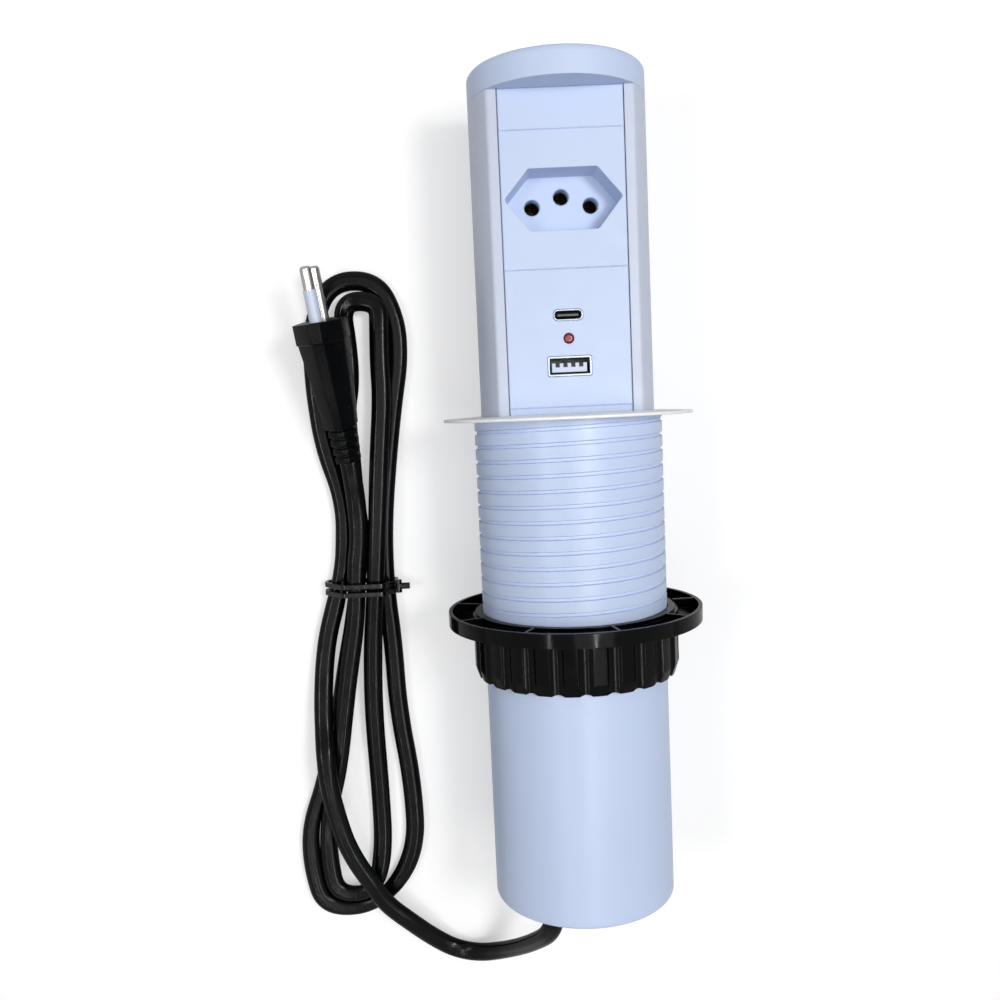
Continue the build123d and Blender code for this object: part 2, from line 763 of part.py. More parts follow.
def ways_of(stations):
    """Direction at each station, from its heading and the slope of its neighbours."""
    ways = []
    last = len(stations) - 1
    for index, (x, s, h, heading) in enumerate(stations):
        slopes = []
        for a, b in ((index - 1, index), (index, index + 1)):
            if a < 0 or b > last:
                continue
            run = math.hypot(stations[b][0] - stations[a][0], stations[b][1] - stations[a][1])
            slopes.append((stations[b][2] - stations[a][2]) / run)
        slope = min(slopes, key=abs)
        if len(slopes) == 2 and slopes[0] * slopes[1] <= 0:
            slope = 0
        way = Vector(math.cos(math.radians(heading)), math.sin(math.radians(heading)), slope)
        ways.append(way.normalized())
    return ways


# Cord: first the free lead from the gland to the hank, as (x, level, height)
hank_start = (-71.5, -189.3, 9.0, 137)
lead_points = [
    (-gland_offset, barrel_bottom - gland_out, upward),
    (-11.0, -177.0, upward),
    (-13.0, -184.3, 39.8),
    (-17.2, -191.0, 32.3),
    (-23.5, -199.3, 21.5),
    (-31.0, -206.4, 11.3),
    (-40.0, -210.3, 5.4),
    (-49.5, -208.9, 3.7),
    (-57.5, -203.0, 5.2),
    (-64.2, -196.1, 7.9),
    hank_start[:3],
]
lead_route = [routed(*place) for place in lead_points]
lead_radii = []
for index in range(1, len(lead_route) - 1):
    before = lead_route[index] - lead_route[index - 1]
    after = lead_route[index + 1] - lead_route[index]
    turn = math.radians(before.get_angle(after))
    lead_radii.append(0.45 * min(before.length, after.length) / math.tan(turn / 2))
print("lead arc radii", [round(radius, 1) for radius in lead_radii])
lead_path = FilletPolyline(*lead_route, radius=lead_radii)
lead_section = Plane(origin=lead_path @ 0, z_dir=lead_path % 0) * Circle(cord_radius)
cord_lead = sweep(lead_section, path=lead_path)
lead_tube_volume = math.pi * cord_radius ** 2 * lead_path.length
print("lead length", round(lead_path.length, 1), "volume ratio", round(cord_lead.volume / lead_tube_volume, 4))

# Hank: the way in, two pinched loops through the tie from one formula, and the way out to the plug.
# Each row is x, level, height and heading in degrees: the first loop's station, and its step per loop.
way_in = [
    hank_start,
    (-81.7, -173.6, 11.0, 121),
    (-89.9, -153.8, 12.6, 103),
    (-93.5, -130.2, 14.6, 93),
    (-94.5, -109.0, 9.0, 89),
    (-92.6, -84.8, 5.0, 80),
]
first_loop = [
    (-86.5, -61.5, 4.3, 76),
    (-83.4, -38.9, 4.0, 90),
    (-90.3, 3.9, 3.0, 96),
    (-91.3, 25.6, 3.0, 90),
    (-74.2, 53.3, 3.0, 0),
    (-59.3, 29.8, 3.0, -90),
    (-63.0, 2.6, 3.0, -99),
    (-68.6, -51.9, 4.5, -91),
    (-66.9, -95.2, 3.0, -89),
    (-62.5, -156.6, 3.0, -90),
    (-91.3, -190.1, 3.0, 180),
    (-103.8, -165.1, 3.0, 90),
    (-94.5, -131.0, 3.0, 71),
    (-87.3, -101.5, 3.0, 79),
]
loop_step = [
    (6.9, -0.3, 0.0, 8),
    (6.6, -0.3, 0.0, 5),
    (10.5, -3.5, 0.0, -3),
    (13.4, -5.8, 0.0, 0),
    (3.6, -8.1, 3.8, -3),
    (-6.4, -1.4, 5.2, -2),
    (-3.4, 0.2, 5.5, 3),
    (-2.4, 1.1, 5.7, -4),
    (-8.1, 1.5, 4.0, -4),
    (-12.8, -2.6, 0.0, 0),
    (3.2, 6.3, 1.6, 0),
    (7.1, -0.1, 0.6, 0),
    (4.3, 1.7, 5.0, 7),
    (2.3, 1.8, 6.6, 1),
]
plug_end = (-78.2, -12.9, 15.4)
way_out = [
    (-79.0, -60.7, 10.4, 88),
    (-77.0, -35.4, 10.4, 91),
    (*plug_end, plug_heading),
]
stations = list(way_in)
for loop in range(hank_turns):
    for place, step in zip(first_loop, loop_step):
        stations.append(tuple(value + change * loop for value, change in zip(place, step)))
stations += way_out
hank_ways = ways_of(stations)
plug_way = Vector(
    math.cos(math.radians(plug_heading)) * math.cos(math.radians(plug_rise)),
    math.sin(math.radians(plug_heading)) * math.cos(math.radians(plug_rise)),
    math.sin(math.radians(plug_rise)))
hank_ways[0] = (lead_route[-1] - lead_route[-2]).normalized()
hank_ways[-1] = plug_way
hank_places = [routed(*station[:3]) for station in stations]
hank_path, hank_samples = biarc_wire(hank_places, hank_ways)
hank_section = Plane(origin=hank_places[0], z_dir=hank_ways[0]) * Circle(cord_radius)
cord_hank = sweep(hank_section, path=hank_path)
hank_gap, hank_length = least_gap(hank_samples, cord_radius)
hank_tube_volume = math.pi * cord_radius ** 2 * hank_path.length
print("hank length", round(hank_length, 1), "least gap to itself", round(hank_gap, 3),
      "volume ratio", round(cord_hank.volume / hank_tube_volume, 4),
      "lowest", round(min(place.Z for place in hank_samples) - cord_radius, 3))

# Spare lead: a loose coil between the lid and the column base
coil_low = lid_floor_top + gland_flange_height
coil_high = base_bottom
coil_run = coil_high - coil_low
coil_quarters = spare_turns * 4
spare_places = [Vector(-gland_offset, 0, coil_low)]
spare_ways = [Vector(0, 0, 1)]
coil_margin = cord_radius * 5
for quarter in range(coil_quarters + 1):
    turn_angle = math.pi + quarter * math.pi / 2
    level = coil_low + coil_margin + (coil_run - coil_margin - coil_margin) * quarter / coil_quarters
    spare_places.append(Vector(
        spare_coil_radius * math.cos(turn_angle), spare_coil_radius * math.sin(turn_angle), level))
    climb = (coil_run - coil_margin - coil_margin) / (coil_quarters * math.pi / 2 * spare_coil_radius)
    spare_ways.append(Vector(-math.sin(turn_angle), math.cos(turn_angle), climb).normalized())
spare_places.append(Vector(0, 0, coil_high))
spare_ways.append(Vector(0, 0, 1))
spare_path, spare_samples = biarc_wire(spare_places, spare_ways)
spare_section = Plane(origin=spare_places[0], z_dir=spare_ways[0]) * Circle(cord_radius)
inner_lead = sweep(spare_section, path=spare_path)
print("spare lead length", round(spare_path.length, 1))

# Plug, built along its own axis: x is its tall side, z points to the pins
plug_axis_x = Vector(0, 0, 1) - plug_way * plug_way.Z
plug_frame = Plane(origin=routed(*plug_end), x_dir=plug_axis_x.normalized(), z_dir=plug_way)


def plug_section(height, thickness, along):
    """Long six-sided section of the plug."""
    flat = height * hexagon_flat_share / 2
    end = thickness * hexagon_end_share / 2
    outline = Polyline(
        (height / 2, -end), (height / 2, end), (flat, thickness / 2), (-flat, thickness / 2),
        (-height / 2, end), (-height / 2, -end), (-flat, -thickness / 2), (flat, -thickness / 2), close=True)
    return Pos(0, 0, along) * make_face(outline)


plug_local = extrude(plug_section(relief_core_height, relief_core_thickness, 0), amount=relief_length)
rib_pitch = relief_length / relief_ribs
for index in range(relief_ribs):
    rib = plug_section(relief_rib_height, relief_rib_thickness, index * rib_pitch)
    plug_local = plug_local + extrude(rib, amount=rib_pitch / 2)
body_end = relief_length + plug_body_length
plug_local = plug_local + loft([
    plug_section(plug_neck_height, plug_neck_thickness, relief_length),
    plug_section(plug_shoulder_height, plug_shoulder_thickness, body_end)], ruled=True)
plug_face = body_end + collar_length
plug_collar = extrude(plug_section(collar_height, collar_thickness, body_end), amount=collar_length)
plug_collar = chamfer(plug_collar.edges().group_by(Axis.Z)[-1], collar_edge)
plug_local = plug_local + plug_collar
plug_body = plug_frame * plug_local

foot = (Align.CENTER, Align.CENTER, Align.MIN)
plug_pins_local = Part()
for side in (-1, 1):
    prong = Pos(side * plug_pin_spacing / 2, 0, plug_face) * Cylinder(plug_pin_radius, plug_pin_length, align=foot)
    prong = fillet(prong.edges().group_by(Axis.Z)[-1], pin_tip_radius)
    plug_pins_local = plug_pins_local + prong
plug_pins = plug_frame * plug_pins_local
cover = Cylinder(sleeve_cover_radius, sleeve_cover_length, align=foot)
cover = cover - Cylinder(plug_pin_radius + sleeve_cover_fit, sleeve_cover_length, align=foot)
pin_sleeve = plug_frame * Pos(plug_pin_spacing / 2, 0, plug_face) * cover

# Twist tie: two flat wraps about the five strands, and its twisted ends
tie_outline = [
    (-91.0, 0.65),
    (-91.0, 5.6),
    (-83.4, 14.3),
    (-68.6, 14.3),
    (-64.6, 7.2),
    (-64.6, 0.65),
]


def tie_wrap(level):
    """One flat wrap at a level."""
    plane = Plane(origin=(0, level + forward + tie_width / 2, 0), x_dir=(1, 0, 0), z_dir=(0, -1, 0))
    outer_line = FilletPolyline(*tie_outline, radius=tie_corner, close=True)
    outer_face = make_face(outer_line)
    inner_face = offset(outer_face, amount=-tie_thickness / 2)
    outer_face = offset(outer_face, amount=tie_thickness / 2)
    return extrude(plane * outer_face, amount=tie_width) - extrude(plane * inner_face, amount=tie_width)


twist_tie = tie_wrap(tie_level - tie_wrap_spacing / 2) + tie_wrap(tie_level + tie_wrap_spacing / 2)
knot_x, knot_h = tie_outline[4]
knot_half = tie_wrap_spacing / 2 + tie_width / 2
knot = Pos(knot_x + tie_knot_radius, tie_level + forward, knot_h) * Rot(90, 0, 0) * Cylinder(
    tie_knot_radius, knot_half + knot_half)
tails = Pos(knot_x + tie_knot_radius, tie_level + forward, knot_h) * Rot(0, 90, 0) * Cylinder(
    tie_knot_radius, tie_tail_length, align=foot)
twist_tie = twist_tie + knot + tails

upright = {
    "desk_flange": desk_flange,
    "barrel": barrel,
    "guide_key": guide_key,
    "barrel_lid": barrel_lid,
    "cord_gland": cord_gland,
    "inner_lead": inner_lead,
    "clamp_flange": clamp_flange,
    "lock_nut": lock_nut,
    "column_shell": column_shell,
    "cap": cap,
    "blank_module": blank_module,
    "socket_module": socket_module,
    "charging_module": charging_module,
    "contact_carrier": contact_carrier,
    "live_contact": live_contact,
    "neutral_contact": neutral_contact,
    "earth_contact": earth_contact,
    "type_a_shell": type_a_shell,
    "type_a_tongue": type_a_tongue,
    "type_a_contacts": type_a_contacts,
    "type_c_shell": type_c_shell,
    "type_c_tongue": type_c_tongue,
    "indicator_led": indicator_led,
    "charger_board": charger_board,
    "transformer": transformer,
    "capacitors": capacitors,
    "charger_cover": charger_cover,
    "column_base": column_base,
    "friction_ring": friction_ring,
    "cord_clamp": cord_clamp,
    "clamp_screws": clamp_screws,
    "live_wire": live_wire,
    "neutral_wire": neutral_wire,
}
laid = {
    "cord_lead": cord_lead,
    "cord_hank": cord_hank,
    "plug_body": plug_body,
    "plug_pins": plug_pins,
    "pin_sleeve": pin_sleeve,
    "twist_tie": twist_tie,
}
for name, shape in upright.items():
    laid[name] = lay(shape)
for name, shape in laid.items():
    export_step(shape, "parts/" + name + ".step")
    print(name, len(shape.solids()), round(shape.volume, 2))
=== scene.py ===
"""Dressed scene of a pop up desk socket: finishes, cord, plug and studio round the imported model.

The tower lies on its back along +Y, its socket front looks up, and the cord lies tied beside it.
Sizes are in metres. A place on the tower is given as x, level along its axis from the desk top,
and height above the surface, as in the part's source.
"""
import logging
import math
from dataclasses import dataclass, field
from enum import Enum

import bmesh
import bpy
import numpy as np
from mathutils import Matrix, Vector


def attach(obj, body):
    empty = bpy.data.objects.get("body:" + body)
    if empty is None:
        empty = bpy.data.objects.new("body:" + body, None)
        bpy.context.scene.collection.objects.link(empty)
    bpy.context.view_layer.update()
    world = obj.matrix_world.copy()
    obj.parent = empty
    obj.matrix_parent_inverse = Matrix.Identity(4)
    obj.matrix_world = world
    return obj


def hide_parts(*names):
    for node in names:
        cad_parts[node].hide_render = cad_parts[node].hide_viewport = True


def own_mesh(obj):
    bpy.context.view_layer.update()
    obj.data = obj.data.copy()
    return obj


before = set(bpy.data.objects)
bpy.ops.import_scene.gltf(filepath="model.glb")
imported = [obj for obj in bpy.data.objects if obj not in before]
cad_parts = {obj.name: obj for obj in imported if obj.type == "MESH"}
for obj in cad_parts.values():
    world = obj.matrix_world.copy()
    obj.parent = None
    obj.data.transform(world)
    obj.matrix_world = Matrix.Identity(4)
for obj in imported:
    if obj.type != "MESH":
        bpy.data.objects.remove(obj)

log = logging.getLogger("desk_socket")
Colour = tuple[float, float, float]
Span = tuple[float, float]
Place = tuple[float, float, float]
Station = tuple[float, float, float, float]

FORWARD = 0.026595          # the desk top's level in the frame
AXIS_HEIGHT = 0.04313       # the tower's axis above the surface
GLAND_OFFSET = 0.011


def tower(x: float, level: float, height: float) -> Vector:
    """Turn a place on the tower into a point of the frame.

    Args:
        x: Distance to the right of the axis.
        level: Level along the axis, from the desk top.
        height: Height above the surface.

    Returns:
        The point in the frame, in metres.
    """
    return Vector((x, level + FORWARD, height))


class Grain(Enum):
    """Fine relief that a finish can carry."""

    MOULDED = "moulded"
    LEATHERY = "leathery"


class NodeSheet:
    """A material's node tree, with short calls for the nodes that the finishes share."""

    def __init__(self, name: str) -> None:
        """Start an empty material with one shader.

        Args:
            name: The material's name.
        """
        self.material = bpy.data.materials.new(name)
        self.material.use_nodes = True
        self.tree = self.material.node_tree
        self.tree.nodes.clear()
        self.output = self.add("ShaderNodeOutputMaterial")
        self.shader = self.add("ShaderNodeBsdfPrincipled")
        self.join(self.shader, "BSDF", self.output, "Surface")
        self.coordinates = self.add("ShaderNodeTexCoord")

    def add(self, kind: str, **settings: object) -> bpy.types.Node:
        """Add a node.

        Args:
            kind: The node's type name.
            **settings: Properties to set on it.

        Returns:
            The new node.
        """
        node = self.tree.nodes.new(kind)
        for key, value in settings.items():
            setattr(node, key, value)
        return node

    def join(self, source: bpy.types.Node, output: str | int, target: bpy.types.Node,
             socket: str | int) -> None:
        """Link one node's output to another's input."""
        self.tree.links.new(source.outputs[output], target.inputs[socket])

    def noise(self, scale: float, detail: float = 2.0,
              stretch: Place = (1.0, 1.0, 1.0)) -> bpy.types.Node:
        """Add a noise on the piece's own coordinates.

        Args:
            scale: Cells per metre.
            detail: Octaves.
            stretch: Scale along each axis before the noise.

        Returns:
            The noise node.
        """
        mapping = self.add("ShaderNodeMapping")
        mapping.inputs["Scale"].default_value = stretch
        self.join(self.coordinates, "Object", mapping, "Vector")
        noise = self.add("ShaderNodeTexNoise")
        noise.inputs["Scale"].default_value = scale
        noise.inputs["Detail"].default_value = detail
        self.join(mapping, "Vector", noise, "Vector")
        return noise

    def ramp(self, source: bpy.types.Node, output: str, low: Colour, high: Colour,
             at: Span = (0.35, 0.65)) -> bpy.types.Node:
        """Colour a value between two colours.

        Args:
            source: Node that gives the value.
            output: Its output.
            low: Colour at the low place.
            high: Colour at the high place.
            at: The two places.

        Returns:
            The ramp node.
        """
        ramp = self.add("ShaderNodeValToRGB")
        first, second = ramp.color_ramp.elements
        first.position, second.position = at
        first.color = (*low, 1.0)
        second.color = (*high, 1.0)
        self.join(source, output, ramp, "Fac")
        return ramp

    def spread(self, source: bpy.types.Node, output: str, to: Span, at: Span = (0.3, 0.7)) -> bpy.types.Node:
        """Map a value from one span to another, clamped.

        Returns:
            The map range node.
        """
        node = self.add("ShaderNodeMapRange")
        node.inputs["From Min"].default_value, node.inputs["From Max"].default_value = at
        node.inputs["To Min"].default_value, node.inputs["To Max"].default_value = to
        self.join(source, output, node, "Value")
        return node

    def relief(self, source: bpy.types.Node, output: str, depth: float, edge: float = 0.0) -> None:
        """Raise a bump over a softened normal and give it to the shader.

        Args:
            source: Node that gives the height.
            output: Its output.
            depth: Height of the relief.
            edge: Radius that softens sharp edges, or 0 for none.
        """
        bump = self.add("ShaderNodeBump")
        bump.inputs["Distance"].default_value = depth
        bump.inputs["Strength"].default_value = 1.0
        self.join(source, output, bump, "Height")
        if edge > 0:
            soft = self.add("ShaderNodeBevel", samples=6)
            soft.inputs["Radius"].default_value = edge
            self.join(soft, "Normal", bump, "Normal")
        self.join(bump, "Normal", self.shader, "Normal")

    def set(self, **values: float | tuple) -> None:
        """Set the shader's own sockets, with _ for a blank in each name."""
        for key, value in values.items():
            self.shader.inputs[key.replace("_", " ")].default_value = value


def shade(colour: Colour, share: float) -> Colour:
    """Make a colour lighter or darker by a share."""
    return tuple(min(1.0, max(0.0, part * share)) for part in colour)


@dataclass(frozen=True)
class Moulded:
    """Moulded plastic or rubber: a slight drift of tone, fine relief and softened edges."""

    name: str
    colour: Colour
    roughness: Span = (0.36, 0.46)
    drift: float = 0.02
    grain: Grain = Grain.MOULDED
    grain_scale: float = 2600.0
    grain_depth: float = 0.00001
    edge: float = 0.00025
    specular: float = 0.5
    drift_scale: float = 38.0
    wear_scale: float = 160.0

    def material(self) -> bpy.types.Material:
        """Make the material."""
        sheet = NodeSheet(self.name)
        drift = sheet.noise(self.drift_scale, 3.0)
        dark, light = shade(self.colour, 1 - self.drift), shade(self.colour, 1 + self.drift)
        tone = sheet.ramp(drift, "Fac", dark, light)
        sheet.join(tone, "Color", sheet.shader, "Base Color")
        wear = sheet.noise(self.wear_scale, 4.0)
        rough = sheet.spread(wear, "Fac", self.roughness)
        sheet.join(rough, "Result", sheet.shader, "Roughness")
        if self.grain is Grain.LEATHERY:
            cells = sheet.add("ShaderNodeTexVoronoi", feature="SMOOTH_F1")
            cells.inputs["Scale"].default_value = self.grain_scale
            sheet.join(sheet.coordinates, "Object", cells, "Vector")
            sheet.relief(cells, "Distance", self.grain_depth, self.edge)
        else:
            fine = sheet.noise(self.grain_scale)
            sheet.relief(fine, "Fac", self.grain_depth, self.edge)
        sheet.set(Specular_IOR_Level=self.specular)
        return sheet.material


@dataclass(frozen=True)
class Metal:
    """Plated or drawn metal with fine lines and a little uneven gloss."""

    name: str
    colour: Colour
    roughness: Span = (0.16, 0.28)
    stretch: Place = (1.0, 12.0, 1.0)
    line_scale: float = 900.0
    line_depth: float = 0.000004
    edge: float = 0.00012
    stain_scale: float = 220.0
    stain_share: float = 0.9

    def material(self) -> bpy.types.Material:
        """Make the material."""
        sheet = NodeSheet(self.name)
        stain = sheet.noise(self.stain_scale, 3.0)
        tone = sheet.ramp(stain, "Fac", shade(self.colour, self.stain_share), self.colour)
        sheet.join(tone, "Color", sheet.shader, "Base Color")
        lines = sheet.noise(self.line_scale, stretch=self.stretch)
        rough = sheet.spread(lines, "Fac", self.roughness)
        sheet.join(rough, "Result", sheet.shader, "Roughness")
        sheet.relief(lines, "Fac", self.line_depth, self.edge)
        sheet.set(Metallic=1.0)
        return sheet.material


@dataclass(frozen=True)
class BoardFinish:
    """Green board: lacquer over copper runs that stand out a little."""

    name: str
    # Lacquer and runs are set very dark: the board's green lacquer is darkened as painted shade, for a board
    # seen only deep inside the ports
    lacquer: Colour = (0.006, 0.03, 0.014)
    run: Colour = (0.02, 0.075, 0.035)
    roughness: Span = (0.25, 0.4)
    wear_scale: float = 300.0
    run_scale: float = 190.0
    run_stagger: float = 0.35
    lacquer_share: float = 1.25
    run_width: float = 0.045
    run_height: float = 0.00003
    edge: float = 0.0002

    def material(self) -> bpy.types.Material:
        """Make the material."""
        sheet = NodeSheet(self.name)
        runs = sheet.add("ShaderNodeTexBrick", offset=self.run_stagger)
        runs.inputs["Scale"].default_value = self.run_scale
        runs.inputs["Mortar Size"].default_value = self.run_width
        runs.inputs["Color1"].default_value = (*self.lacquer, 1.0)
        runs.inputs["Color2"].default_value = (*shade(self.lacquer, self.lacquer_share), 1.0)
        runs.inputs["Mortar"].default_value = (*self.run, 1.0)
        turn = sheet.add("ShaderNodeMapping")
        turn.inputs["Rotation"].default_value = (0.0, 0.0, math.pi / 2)
        sheet.join(sheet.coordinates, "Object", turn, "Vector")
        sheet.join(turn, "Vector", runs, "Vector")
        sheet.join(runs, "Color", sheet.shader, "Base Color")
        rough = sheet.spread(sheet.noise(self.wear_scale), "Fac", self.roughness)
        sheet.join(rough, "Result", sheet.shader, "Roughness")
        sheet.relief(runs, "Fac", self.run_height, self.edge)
        return sheet.material


@dataclass
class Finishes:
    """Every finish of the object, made once."""

    # Column shell finish: the white plastic set darker and greyer than the front panel's, a shaded copy that
    # paints in the shade on the column's curved sides
    white: Moulded = Moulded("side_shaded_white_moulding", (0.525, 0.575, 0.695), (0.34, 0.46), 0.012, edge=0.0004,
                             specular=0.3)
    # Front panel finish: white plastic whose blue cast is painted light, standing in for bluish light from
    # above; the plastic itself is near neutral white
    front: Moulded = Moulded("front_moulding", (0.525, 0.615, 0.815), (0.42, 0.55), 0.012,
                             grain_depth=0.000016, edge=0.0005, specular=0.3)
    # Flange rim finish: the same white plastic set far brighter and neutral, a lit copy that paints on the
    # light falling on the desk flange's rim
    rim: Moulded = Moulded("rim_moulding", (0.93, 0.935, 0.95), (0.34, 0.46), 0.008, edge=0.0003)
    # Barrel finish: the same painted blue cast as the front panel
    tube: Moulded = Moulded("tube_moulding", (0.52, 0.612, 0.815), (0.32, 0.42), 0.01, grain_depth=0.000004,
                            edge=0.0, specular=0.25)
    black: Moulded = Moulded(
        "black_moulding", (0.0016, 0.0018, 0.0022), (0.07, 0.15), 0.2, grain_scale=700.0,
        grain_depth=0.000012, edge=0.0004, specular=0.065)
    jacket: Moulded = Moulded(
        "cord_jacket", (0.0016, 0.0018, 0.0023), (0.15, 0.24), 0.25, Grain.LEATHERY, 1250.0, 0.00003, 0.0,
        specular=0.095)
    grip: Moulded = Moulded(
        "plug_moulding", (0.0018, 0.002, 0.0025), (0.24, 0.36), 0.25, grain_scale=2200.0,
        grain_depth=0.00002, edge=0.0005, specular=0.06)
    tie: Moulded = Moulded("tie_film", (0.002, 0.002, 0.0024), (0.08, 0.16), 0.2, grain_scale=500.0,
                           grain_depth=0.00005, edge=0.0005, specular=0.25)
    # Steel and pin colours sit well below plated metal: painted shade that stands in for the dark
    # surroundings which the real shells and pins reflect
    steel: Metal = Metal("plated_steel", (0.24, 0.26, 0.31))
    pin: Metal = Metal("pin_nickel", (0.42, 0.40, 0.37), (0.16, 0.26), (1.0, 1.0, 6.0))
    # Contact finish: brass darkened far below its own colour, painted shade for contacts seen deep in the
    # socket holes
    brass: Metal = Metal("hole_shaded_brass", (0.10, 0.066, 0.032), (0.4, 0.55))
    dark_metal: Metal = Metal("contact_tips", (0.016, 0.016, 0.02), (0.3, 0.4))
    aluminium: Metal = Metal("can_aluminium", (0.8, 0.81, 0.83), (0.25, 0.35), (8.0, 1.0, 1.0))
    port_white: Moulded = Moulded("port_white", (0.52, 0.58, 0.72), (0.35, 0.45))
    port_grey: Moulded = Moulded("port_grey", (0.012, 0.012, 0.015), (0.35, 0.45))
    red: Moulded = Moulded("red_lens", (0.2, 0.005, 0.008), (0.12, 0.2), 0.2, grain_scale=900.0,
                           grain_depth=0.00003)
    board: BoardFinish = BoardFinish("port_shaded_green_board")
    inner: Moulded = Moulded("inner_grey", (0.33, 0.34, 0.37), (0.45, 0.6))
    ferrite: Moulded = Moulded("ferrite", (0.035, 0.032, 0.03), (0.4, 0.6), 0.2, grain_scale=900.0,
                               grain_depth=0.00005)
    rubber: Moulded = Moulded("ring_rubber", (0.02, 0.02, 0.022), (0.5, 0.65), 0.15, grain_depth=0.00003)
    brown: Moulded = Moulded("wire_brown", (0.13, 0.05, 0.02), (0.35, 0.45), 0.06)
    blue: Moulded = Moulded("wire_blue", (0.02, 0.08, 0.35), (0.35, 0.45), 0.06)
    made: dict[str, bpy.types.Material] = field(default_factory=dict)

    def material(self, name: str) -> bpy.types.Material:
        """Give a finish's material, made on its first use.

        Args:
            name: The finish's field.

        Returns:
            The material.
        """
        if name not in self.made:
            self.made[name] = getattr(self, name).material()
        return self.made[name]


def dress(names: dict[str, str], finishes: Finishes) -> None:
    """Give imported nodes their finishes.

    Args:
        names: Finish of each node.
        finishes: The finishes.
    """
    for node, finish in names.items():
        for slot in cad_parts[node].material_slots:
            slot.material = finishes.material(finish)
        log.info("%s: %s", node, finish)


def piece_from(name: str, shape: bmesh.types.BMesh, material: bpy.types.Material,
               smooth: bool = True) -> bpy.types.Object:
    """Turn a finished bmesh into a piece at the origin.

    Args:
        name: The piece's name.
        shape: Its mesh, freed here.
        material: Its material.
        smooth: Whether its faces are smooth shaded.

    Returns:
        The piece.
    """
    mesh = bpy.data.meshes.new(name)
    for face in shape.faces:
        face.smooth = smooth
    shape.to_mesh(mesh)
    shape.free()
    mesh.materials.append(material)
    piece = bpy.data.objects.new(name, mesh)
    bpy.context.scene.collection.objects.link(piece)
    return piece


@dataclass
class Route:
    """A cord's own line: a smooth spline through the control points."""

    name: str
    points: list[Vector]
    resolution: int = 12
    least_step: float = 0.0003

    def line(self) -> list[Vector]:
        """Read the points along the spline from a curve without thickness.

        Returns:
            The points, in order.
        """
        curve = bpy.data.curves.new(self.name, "CURVE")
        curve.dimensions = "3D"
        curve.resolution_u = self.resolution
        spline = curve.splines.new("NURBS")
        spline.points.add(len(self.points) - 1)
        for control, point in zip(spline.points, self.points):
            control.co = (*point, 1.0)
        spline.order_u = 3
        spline.use_endpoint_u = True
        holder = bpy.data.objects.new(self.name, curve)
        mesh = bpy.data.meshes.new_from_object(holder)
        found = [mesh.vertices[0].co.copy()]
        for vertex in mesh.vertices:
            if (vertex.co - found[-1]).length > self.least_step:
                found.append(vertex.co.copy())
        bpy.data.meshes.remove(mesh)
        bpy.data.objects.remove(holder)
        bpy.data.curves.remove(curve)
        return found


SAME_WAY = 1e-9             # two directions closer than this count as one


def corner_reach(start: Vector, start_way: Vector, end: Vector, end_way: Vector) -> float:
    """Find how far the two control points between two stations stand from them.

    Args:
        start: First station.
        start_way: Direction there.
        end: Next station.
        end_way: Direction there.

    Returns:
        The distance from each station to its control point.
    """
    gap = end - start
    spread = 2 * (1 - start_way.dot(end_way))
    lead = gap.dot(start_way + end_way)
    if spread < SAME_WAY:
        return gap.dot(gap) / (2 * lead)
    return (math.sqrt(lead ** 2 + spread * gap.dot(gap)) - lead) / spread


def controls(places: list[Vector], ways: list[Vector]) -> list[Vector]:
    """Give the control points between stations with known directions.

    Args:
        places: The stations.
        ways: The cord's direction at each.

    Returns:
        The control points, without the two ends.
    """
    found = []
    for index in range(len(places) - 1):
        reach = corner_reach(places[index], ways[index], places[index + 1], ways[index + 1])
        found.append(places[index] + ways[index] * reach)
        found.append(places[index + 1] - ways[index + 1] * reach)
    return found


def tightest_bend(line: list[Vector]) -> tuple[float, Vector]:
    """Find the least radius of the circles through three points in turn.

    Args:
        line: The points.

    Returns:
        The radius and the place.
    """
    found = []
    for a, b, c in zip(line, line[1:], line[2:]):
        twice_area = (b - a).cross(c - a).length
        if twice_area > 0:
            found.append(((a - b).length * (b - c).length * (c - a).length / (2 * twice_area), b))
    return min(found, key=lambda bend: bend[0])


